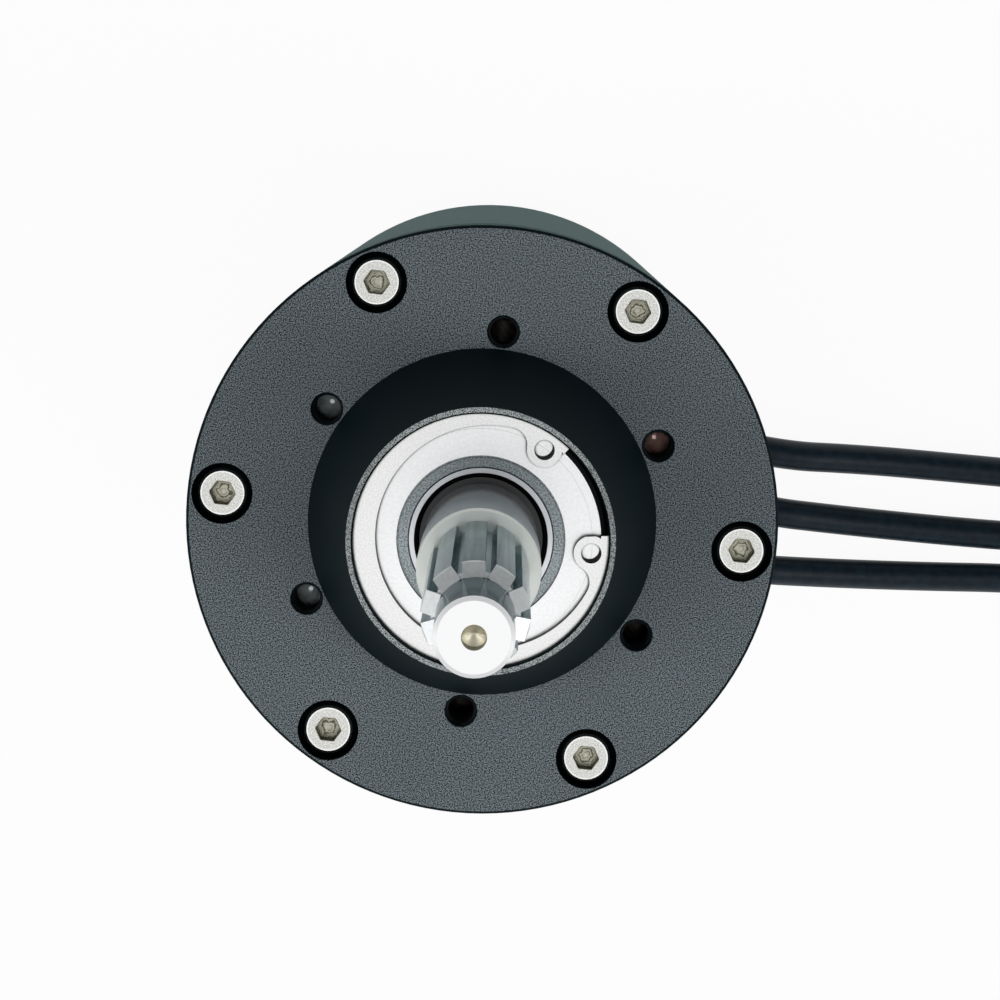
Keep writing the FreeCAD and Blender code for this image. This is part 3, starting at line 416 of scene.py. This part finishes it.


# Shaft: alloy steel turned between centres, ground on the journal and milled along the spline. The
# end faces were cut last; faces that point up are painted lighter, partly for that cut finish and
# partly as a painted highlight, and the centre hole is painted near white as a painted highlight. The
# neck in the bearing is only turned. The faces below its step are painted dark as painted shade, and a
# dark strip at the edge of the neck is painted shade.
neck_top = 0.205
shade_strip_middle = 0.2049
shade_strip_half = 0.0006
step_top = 0.2
shoulder_top = 0.225
tooth_ends_top = 0.265
spline_foot = 0.22
spline_top = 0.2606
centre_hole_foot = 0.27
centre_hole_radius = 0.00146
ground_roughness = 0.12
cut_roughness = 0.3
steel, steel_tree, steel_surface = new_finish("ground_steel", metallic=1.0, roughness=ground_roughness)
steel_surface["Specular Tint"].default_value = (0.4, 0.48, 0.5, 1.0)
steel_marks = place_group(steel_tree, turning, **{"Across Face": 0.6, "Lines": 7000.0})
steel_up = steel_marks["Up"]
steel_grain = new_grain(steel_tree, dark=(0.335, 0.375, 0.395), light=(0.35, 0.39, 0.41), grain=1300.0)

steel_place = steel_tree.nodes.new("ShaderNodeTexCoord")
steel_stretch = steel_tree.nodes.new("ShaderNodeMapping")
steel_stretch.inputs["Scale"].default_value = (1.0, 1.0, 0.02)
steel_tree.links.new(steel_place.outputs["Object"], steel_stretch.inputs["Vector"])
steel_streaks = steel_tree.nodes.new("ShaderNodeTexNoise")
steel_streaks.inputs["Scale"].default_value = 1600.0
steel_tree.links.new(steel_stretch.outputs["Vector"], steel_streaks.inputs["Vector"])
steel_milled = calc(steel_tree, "MULTIPLY",
                    calc(steel_tree, "GREATER_THAN", steel_up, spline_foot),
                    calc(steel_tree, "LESS_THAN", steel_up, spline_top))
steel_milled_color = mix_colors(
    steel_tree, spread(steel_tree, steel_streaks.outputs["Fac"], low=0.35, high=0.65),
    (0.22, 0.25, 0.265), (0.5, 0.54, 0.56))
steel_neck = calc(steel_tree, "LESS_THAN", steel_up, neck_top)
steel_neck_color = mix_colors(
    steel_tree, spread(steel_tree, steel_marks["Height"], low=0.35, high=0.65),
    (0.3, 0.305, 0.31), (0.58, 0.585, 0.59))
# Painted shade: a dark strip painted round the shaft at the edge of the neck.
steel_shade_strip = calc(steel_tree, "COMPARE", steel_up, shade_strip_middle, shade_strip_half)
steel_side_color = mix_colors(steel_tree, steel_milled, steel_grain["Color"], steel_milled_color)
steel_side_color = mix_colors(steel_tree, steel_neck, steel_side_color, steel_neck_color)
steel_side_color = mix_colors(steel_tree, steel_shade_strip, steel_side_color, (0.05, 0.05, 0.06))

# Painted shade: faces that point up below the step are painted dark; the shoulder above is painted light.
steel_shoulder_and_step_shade_color = mix_colors(steel_tree, calc(steel_tree, "GREATER_THAN", steel_up, step_top),
                              (0.05, 0.048, 0.048), (0.55, 0.57, 0.54))
# Painted highlight: faces that point up are painted lighter than the sides, partly for their cut finish, with
# the tip lightest.
steel_tip_highlight_color = mix_colors(steel_tree, calc(steel_tree, "GREATER_THAN", steel_up, tooth_ends_top),
                             (0.5, 0.52, 0.52), (0.74, 0.74, 0.74))
steel_end_highlight_and_shade_color = mix_colors(steel_tree, calc(steel_tree, "GREATER_THAN", steel_up, shoulder_top),
                             steel_shoulder_and_step_shade_color, steel_tip_highlight_color)
steel_up_facing = calc(steel_tree, "GREATER_THAN", axes_of(steel_tree, "Normal")["Z"], 0.6)
steel_hole = calc(steel_tree, "MULTIPLY",
                  calc(steel_tree, "LESS_THAN", steel_marks["Radius"], centre_hole_radius),
                  calc(steel_tree, "GREATER_THAN", steel_up, centre_hole_foot))
# Painted highlight: the centre hole is painted near white, lightest in the middle.
steel_hole_highlight_color = mix_colors(steel_tree, spread(steel_tree, steel_marks["Radius"], low=0.0009, high=0.0013),
                              (0.97, 0.94, 0.84), (0.8, 0.77, 0.66))
steel_color = mix_colors(steel_tree, steel_up_facing, steel_side_color, steel_end_highlight_and_shade_color)
steel_tree.links.new(mix_colors(steel_tree, steel_hole, steel_color, steel_hole_highlight_color),
                     steel_surface["Base Color"])
steel_tree.links.new(spread(steel_tree, steel_up, low=0.2194, high=0.2196, first=0.6, last=1.0),
                     steel_surface["Metallic"])
steel_cut = calc(steel_tree, "MAXIMUM", steel_up_facing, steel_hole)
steel_tree.links.new(
    spread(steel_tree, steel_cut, low=0.0, high=1.0, first=ground_roughness, last=cut_roughness),
    steel_surface["Roughness"])
streak_depth = 4.0
steel_streak_depth = calc(steel_tree, "MULTIPLY", steel_milled, streak_depth)
steel_relief = calc(steel_tree, "ADD", steel_marks["Height"], calc(
    steel_tree, "MULTIPLY", steel_streaks.outputs["Fac"], steel_streak_depth))
emboss(steel_tree, steel_surface, steel_relief, strength=0.05, distance=0.0001)
dress(steel, "shaft")


# Lead-ins of the spline: the end of each of the ten teeth is turned off at a slant, so that a gear
# finds its way on. A thin edge of the flat tooth end stays outside the slant.
def ring_of(count):
    """In edit mode, repeats what is selected until that many stand round the shaft's axis."""
    for copy in range(count - 1):
        bpy.ops.mesh.duplicate()
        bpy.ops.transform.rotate(value=math.radians(360.0 / count), orient_axis="Z",
                                 center_override=(0.0, 0.0, 0.0))


tooth_count = 10
lead_in_foot = 0.2607
lead_in_rise = 0.001
lead_in_inner = 0.0045
lead_in_outer = 0.00622
lead_in_half = 0.00134
lead_in_turn = math.radians(26.3)
weld = 0.000001
bpy.ops.object.select_all(action="DESELECT")
bpy.ops.mesh.primitive_cube_add(size=2.0)
lead_ins = bpy.context.object
lead_ins.name = "spline_lead_ins"
for corner in lead_ins.data.vertices:
    corner_side, corner_beside, corner_up = corner.co
    corner.co = (lead_in_outer if corner_side > 0.0 else lead_in_inner,
                 lead_in_half * corner_beside,
                 lead_in_foot + (lead_in_rise if corner_up > 0.0 and corner_side < 0.0 else 0.0))
bpy.ops.object.mode_set(mode="EDIT")
bpy.ops.mesh.select_all(action="SELECT")
bpy.ops.mesh.remove_doubles(threshold=weld)
bpy.ops.mesh.normals_make_consistent(inside=False)
bpy.ops.transform.rotate(value=-lead_in_turn, orient_axis="Z", center_override=(0.0, 0.0, 0.0))
ring_of(tooth_count)
bpy.ops.object.mode_set(mode="OBJECT")
# Painted highlight: the slants get a lighter, half-diffuse copy of the shaft steel.
lead_in_lit_steel, lead_in_tree, lead_in_surface = new_finish("slanted_steel", metallic=0.4, roughness=0.3)
lead_in_grain = color_grain(lead_in_tree, lead_in_surface,
                            dark=(0.62, 0.64, 0.64), light=(0.68, 0.7, 0.7), grain=2000.0)
emboss(lead_in_tree, lead_in_surface, lead_in_grain, strength=0.03, distance=0.0001)
lead_ins.data.materials.append(lead_in_lit_steel)
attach(lead_ins, "rotor")


# Magnets, sleeve and balance rings: nickel-plated arcs glued round the core under a wound carbon
# sleeve, between turned brass rings that are drilled to balance the rotor.
nickel, nickel_tree, nickel_surface = new_finish("magnet_plating", metallic=1.0, roughness=0.3)
nickel_grain = color_grain(nickel_tree, nickel_surface,
                           dark=(0.45, 0.45, 0.44), light=(0.65, 0.65, 0.63), grain=800.0)
emboss(nickel_tree, nickel_surface, nickel_grain, strength=0.06, distance=0.0002)
dress(nickel, "rotor_magnets")

fibre, fibre_tree, fibre_surface = new_finish("fibre_sleeve", metallic=0.0, roughness=0.3)
color_grain(fibre_tree, fibre_surface, dark=(0.008, 0.008, 0.009), light=(0.05, 0.05, 0.055), grain=600.0)
fibre_surface["Coat Weight"].default_value = 0.5
fibre_wind = place_group(fibre_tree, turning, Lines=3500.0)
emboss(fibre_tree, fibre_surface, fibre_wind["Height"], strength=0.3, distance=0.0002)
dress(fibre, "magnet_sleeve")

brass, brass_tree, brass_surface = new_finish("balance_brass", metallic=1.0, roughness=0.28)
color_grain(brass_tree, brass_surface, dark=(0.5, 0.36, 0.14), light=(0.72, 0.54, 0.25), grain=900.0)
brass_marks = place_group(brass_tree, turning, **{"Across Face": 1.0, "Lines": 5000.0})
emboss(brass_tree, brass_surface, brass_marks["Height"], strength=0.12, distance=0.0001)
dress(brass, "front_balance_ring", "rear_balance_ring")


# Bearings: hardened rings and balls between pressed shields. The inner ring's face is ground across
# and looks grey, with a turned line that parts it from the land at the bore. That land is painted
# light as a painted highlight, and the bevel into the bore is painted near black as painted shade.
land_radius = 0.00985
bevel_radius = 0.00918
ground, ground_tree, ground_surface = new_finish("bearing_steel", metallic=1.0, roughness=0.3)
ground_marks = place_group(ground_tree, turning, **{"Across Face": 1.0, "Along Shaft": 0.3, "Lines": 9000.0})
ground_grain = new_grain(ground_tree, dark=(0.14, 0.17, 0.18), light=(0.39, 0.42, 0.43), grain=4500.0)
# Painted highlight on the land at the bore, and painted shade on the bevel into the bore.
ground_land_highlight = calc(ground_tree, "LESS_THAN", ground_marks["Radius"], land_radius)
ground_bevel_shade = calc(ground_tree, "LESS_THAN", ground_marks["Radius"], bevel_radius)
ground_color = mix_colors(ground_tree, ground_land_highlight, ground_grain["Color"], (0.68, 0.69, 0.71))
ground_tree.links.new(mix_colors(ground_tree, ground_bevel_shade, ground_color, (0.02, 0.02, 0.02)),
                      ground_surface["Base Color"])
ground_tangent = ground_tree.nodes.new("ShaderNodeTangent")
ground_tangent.direction_type = "RADIAL"
ground_tangent.axis = "Z"
ground_tree.links.new(ground_tangent.outputs["Tangent"], ground_surface["Tangent"])
ground_surface["Anisotropic"].default_value = 0.9
ground_surface["Anisotropic Rotation"].default_value = 0.25
emboss(ground_tree, ground_surface, ground_marks["Height"], strength=0.1, distance=0.0001)
for end in ("front", "rear"):
    dress(ground, f"{end}_bearing_inner_ring", f"{end}_bearing_balls")


def paint_corner_shade(tree, surface, color, reach, tint):
    """Paints shade: darkens the edge walls and the last fraction of a millimetre before a wall."""
    corner = tree.nodes.new("ShaderNodeAmbientOcclusion")
    corner.samples = 8
    corner.inputs["Distance"].default_value = reach
    flat = calc(tree, "GREATER_THAN", calc(tree, "ABSOLUTE", axes_of(tree, "Normal")["Z"]), 0.5)
    share = calc(tree, "MULTIPLY", flat, spread(tree, corner.outputs["AO"], low=0.5, high=0.8))
    tree.links.new(mix_colors(tree, share, tint, color), surface["Base Color"])


def distance_from(tree, middle):
    place = tree.nodes.new("ShaderNodeTexCoord")
    far = tree.nodes.new("ShaderNodeVectorMath")
    far.operation = "DISTANCE"
    far.inputs[1].default_value = middle
    tree.links.new(place.outputs["Object"], far.inputs[0])
    return far.outputs["Value"]


# Painted shadow: a dark crescent is painted inside each eye of the circlip, on the shield below, offset to one
# side.
eye_places = ((0.00725, 0.01336), (0.0152, 0.0))
eye_floor = 0.186
eye_radius = 0.0014
eye_shadow_shift = (-0.00027, 0.00036)
eye_shadow_edge = 0.0001
bright, bright_tree, bright_surface = new_finish("shield_steel", metallic=1.0, roughness=0.35)
bright_grain = new_grain(bright_tree, dark=(0.85, 0.85, 0.85), light=(0.9, 0.9, 0.9), grain=2500.0)
bright_shadowed = bright_grain["Color"]
for eye_x, eye_y in eye_places:
    from_eye = distance_from(bright_tree, (eye_x, eye_y, eye_floor))
    from_shadow_middle = distance_from(bright_tree, (eye_x + eye_shadow_shift[0], eye_y + eye_shadow_shift[1], eye_floor))
    eye_painted_shadow = calc(bright_tree, "MULTIPLY",
                   calc(bright_tree, "LESS_THAN", from_eye, eye_radius),
                   spread(bright_tree, from_shadow_middle, low=eye_radius - eye_shadow_edge, high=eye_radius))
    bright_shadowed = mix_colors(bright_tree, eye_painted_shadow, bright_shadowed, (0.01, 0.01, 0.01))
# Painted shade: the edge walls and the flats just before a wall are painted dark.
paint_corner_shade(bright_tree, bright_surface, bright_shadowed, reach=0.0006, tint=(0.05, 0.05, 0.05))
bright_marks = place_group(bright_tree, turning, **{"Across Face": 1.0, "Along Shaft": 0.0, "Lines": 8000.0})
emboss(bright_tree, bright_surface, bright_marks["Height"], strength=0.04, distance=0.0001)
for end in ("front", "rear"):
    dress(bright, f"{end}_bearing_outer_ring", f"{end}_bearing_shields", f"{end}_bearing_cage")


# Preload washer and circlip: stamped spring steel, barrelled to a bright finish with fine random
# scratches. The clip is squeezed by its eyes and snaps into the slot above the bearing.
spring, spring_tree, spring_surface = new_finish("spring_steel", metallic=1.0, roughness=0.3)
spring_grain = new_grain(spring_tree, dark=(0.66, 0.66, 0.65), light=(0.75, 0.75, 0.74), grain=4000.0)
# Painted shade: the clip's edge walls and the flats just before them are painted dark.
paint_corner_shade(spring_tree, spring_surface, spring_grain["Color"], reach=0.0005, tint=(0.05, 0.05, 0.05))
spring_scratches = noise(spring_tree, scale=1400.0, detail=2.0, distortion=2.0)
emboss(spring_tree, spring_surface, spring_scratches, strength=0.05, distance=0.0001)
dress(spring, "preload_washer", "front_circlip")


# Front end bell: turned aluminium. The flat face and the rim were bead-blasted before anodising and
# sparkle a dark grey. The cone, the bore and the holes were cut smooth and came out near black, and
# the outer wall has the can's satin.
face_height = 0.165
face_reach = 0.00008
rim_foot = 0.18895
rim_inner = 0.01773
wall_radius = 0.04245
bell, bell_tree, bell_surface = new_finish("blasted_anodise", metallic=0.0, roughness=0.45, shine=0.04)
bell_surface["Specular Tint"].default_value = satin_tint
bell_marks = place_group(bell_tree, turning, Lines=5000.0)
bell_grain = new_grain(bell_tree, dark=(0.004, 0.009, 0.012), light=(0.25, 0.288, 0.306), grain=5600.0)
bell_rim_grain = new_grain(bell_tree, dark=(0.04, 0.045, 0.045), light=(0.55, 0.59, 0.59), grain=6200.0)
bell_face = calc(bell_tree, "COMPARE", bell_marks["Up"], face_height, face_reach)
bell_rim = calc(bell_tree, "MULTIPLY",
                calc(bell_tree, "GREATER_THAN", bell_marks["Up"], rim_foot),
                calc(bell_tree, "GREATER_THAN", bell_marks["Radius"], rim_inner))
bell_blasted = calc(bell_tree, "MAXIMUM", bell_face, bell_rim)
bell_outside = calc(bell_tree, "GREATER_THAN", bell_marks["Radius"], wall_radius)
bell_color = mix_colors(bell_tree, bell_outside, (0.004, 0.0085, 0.0105), (0.026, 0.033, 0.033))
bell_color = mix_colors(bell_tree, bell_face, bell_color, bell_grain["Color"])
bell_color = mix_colors(bell_tree, bell_rim, bell_color, bell_rim_grain["Color"])
bell_tree.links.new(bell_color, bell_surface["Base Color"])
bell_tree.links.new(calc(bell_tree, "MULTIPLY", bell_outside, satin_metal), bell_surface["Metallic"])
bell_tree.links.new(spread(bell_tree, bell_blasted, low=0.0, high=1.0, first=0.6, last=0.55),
                    bell_surface["Roughness"])
bell_relief = calc(bell_tree, "MULTIPLY", bell_grain["Height"], bell_blasted)
emboss(bell_tree, bell_surface, bell_relief, strength=0.25, distance=0.0002)
dress(bell, "front_end_bell")

# Threads of the six mounting holes: cut with an M5 tap right through the front wall before anodising,
# so they came out black. The crests stand a little inside the drilled bore.
thread_pitch = 0.0008
thread_root = 0.00213
thread_crest = 0.00188
thread_flank = thread_pitch * 0.45
thread_top = 0.1643
thread_turns = 9
thread_steps = 28
thread_circle = 0.0275
thread_count = 6
thread_first = math.radians(30.0)
bpy.ops.object.select_all(action="DESELECT")
bpy.ops.mesh.primitive_circle_add(vertices=3, radius=thread_flank, fill_type="NOTHING")
threads = bpy.context.object
threads.name = "mount_hole_threads"
for point, place in zip(threads.data.vertices, (
        (thread_crest, 0.0, thread_top),
        (thread_root, 0.0, thread_top + thread_flank),
        (thread_root, 0.0, thread_top - thread_flank))):
    point.co = place
winding = threads.modifiers.new("winding", "SCREW")
winding.axis = "Z"
winding.angle = math.tau
winding.screw_offset = -thread_pitch
winding.iterations = thread_turns
winding.steps = thread_steps
winding.render_steps = thread_steps
bpy.ops.object.modifier_apply(modifier="winding")
bpy.ops.object.mode_set(mode="EDIT")
bpy.ops.mesh.select_all(action="SELECT")
bpy.ops.mesh.remove_doubles(threshold=weld)
bpy.ops.mesh.fill_holes(sides=3)
bpy.ops.mesh.normals_make_consistent(inside=False)
bpy.ops.transform.translate(value=(thread_circle, 0.0, 0.0))
bpy.ops.transform.rotate(value=thread_first, orient_axis="Z", center_override=(0.0, 0.0, 0.0))
ring_of(thread_count)
bpy.ops.object.mode_set(mode="OBJECT")
bpy.ops.object.shade_smooth_by_angle(angle=math.radians(40.0))
thread_black, thread_tree, thread_surface = new_finish("tapped_black", metallic=0.0, roughness=0.3)
thread_film = color_grain(thread_tree, thread_surface,
                          dark=(0.006, 0.007, 0.009), light=(0.016, 0.018, 0.022), grain=3000.0)
emboss(thread_tree, thread_surface, thread_film, strength=0.05, distance=0.0001)
threads.data.materials.append(thread_black)
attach(threads, "housing")


# Cap screws: stainless M4 screws with a socket head, six in the counterbores of the front face and
# six in the rear. The heads are turned bright, and the pressed hexagon keeps an olive film in rings.
screw_circle = 0.0375
screw_step = math.radians(60.0)
around_screw, around_in, around_out = new_group(
    "from_screw_axis",
    [("First Screw", "NodeSocketFloat", 0.0)],
    [("Distance", "NodeSocketFloat"), ("Hexagon", "NodeSocketFloat"), ("Up", "NodeSocketFloat")])
around_axes = axes_of(around_screw, "Object")
around_turn = calc(around_screw, "SUBTRACT",
                   calc(around_screw, "ARCTAN2", around_axes["Y"], around_axes["X"]),
                   around_in["First Screw"])
around_number = calc(around_screw, "ROUND", calc(around_screw, "DIVIDE", around_turn, screw_step))
around_near = calc(around_screw, "SUBTRACT", around_turn,
                   calc(around_screw, "MULTIPLY", around_number, screw_step))
around_reach = hypotenuse(around_screw, around_axes["X"], around_axes["Y"])
around_along = calc(around_screw, "MULTIPLY", around_reach, calc(around_screw, "COSINE", around_near))
around_out_by = calc(around_screw, "SUBTRACT", around_along, screw_circle)
around_beside = calc(around_screw, "MULTIPLY", around_reach, calc(around_screw, "SINE", around_near))
around_slant = calc(around_screw, "MULTIPLY", around_out_by, math.cos(math.radians(30.0)))
around_half = calc(around_screw, "MULTIPLY", around_beside, 0.5)
around_flats = [calc(around_screw, "ABSOLUTE", flat) for flat in (
    around_beside,
    calc(around_screw, "ADD", around_slant, around_half),
    calc(around_screw, "SUBTRACT", around_slant, around_half))]
around_screw.links.new(hypotenuse(around_screw, around_out_by, around_beside), around_out["Distance"])
around_screw.links.new(
    calc(around_screw, "MAXIMUM", around_flats[0],
         calc(around_screw, "MAXIMUM", around_flats[1], around_flats[2])),
    around_out["Hexagon"])
around_screw.links.new(around_axes["Z"], around_out["Up"])

socket_radius = 0.00196
socket_depth = 0.00215
socket_lip = 0.00005
mouth_half = 0.00172
mouth_radius = 0.0019
film_wave = 0.001


def screw_finish(name, head_face, first_screw):
    stainless, tree, surface = new_finish(name, metallic=1.0, roughness=0.3)
    axis = place_group(tree, around_screw, **{"First Screw": first_screw})
    depth = calc(tree, "ABSOLUTE", calc(tree, "SUBTRACT", axis["Up"], head_face))
    in_socket = calc(tree, "MULTIPLY", calc(tree, "LESS_THAN", axis["Distance"], socket_radius),
                     calc(tree, "GREATER_THAN", depth, socket_lip))
    on_floor = calc(tree, "MULTIPLY", in_socket, calc(tree, "GREATER_THAN", depth, socket_depth))
    # Painted shade: the mouth of the hexagon on the head is painted the dark film colour.
    mouth_shade = calc(tree, "MULTIPLY", calc(tree, "LESS_THAN", axis["Hexagon"], mouth_half),
                 calc(tree, "LESS_THAN", axis["Distance"], mouth_radius))

    film_shift = calc(tree, "MULTIPLY", noise(tree, scale=1300.0, detail=1.0), film_wave)
    film_rings = line_noise(tree, calc(tree, "ADD", axis["Hexagon"], film_shift), scale=4000.0)
    film_tone = spread(tree, film_rings, low=0.38, high=0.62)
    edge_color = mix_colors(tree, film_tone, (0.09, 0.087, 0.064), (0.34, 0.332, 0.262))
    floor_color = mix_colors(tree, film_tone, (0.08, 0.077, 0.055), (0.58, 0.57, 0.45))
    # Painted highlight: the socket floor is painted lighter towards its middle, and it darkens towards the
    # walls.
    floor_middle_highlight = spread(tree, axis["Distance"], low=0.0002, high=0.0007, first=0.5, last=0.0)
    floor_color = mix_colors(tree, floor_middle_highlight, floor_color, (0.8, 0.78, 0.66))
    floor_edge = spread(tree, axis["Hexagon"], low=0.001, high=0.0015)
    floor_color = mix_colors(tree, floor_edge, floor_color, edge_color)
    socket_color = mix_colors(tree, on_floor, edge_color, floor_color)

    head = new_grain(tree, dark=(0.42, 0.42, 0.4), light=(0.66, 0.66, 0.63), grain=5000.0)
    # Painted highlight: a light ring painted round the head's outer edge.
    head_bevel_highlight = spread(tree, axis["Distance"], low=0.0029, high=0.0031)
    head_color = mix_colors(tree, head_bevel_highlight, head["Color"], (0.85, 0.85, 0.83))
    head_color = mix_colors(tree, mouth_shade, head_color, edge_color)
    tree.links.new(mix_colors(tree, in_socket, head_color, socket_color), surface["Base Color"])
    tree.links.new(spread(tree, in_socket, low=0.0, high=1.0, first=0.28, last=0.4), surface["Roughness"])
    head_rings = line_noise(tree, axis["Distance"], scale=9000.0)
    emboss(tree, surface, head_rings, strength=0.08, distance=0.0001)
    return stainless


front_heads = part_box("front_cover_screws")[1][2]
rear_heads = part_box("rear_cover_screws")[0][2]
dress(screw_finish("front_stainless", front_heads, first_screw=0.0), "front_cover_screws")
dress(screw_finish("rear_stainless", rear_heads, first_screw=math.radians(19.0)), "rear_cover_screws")
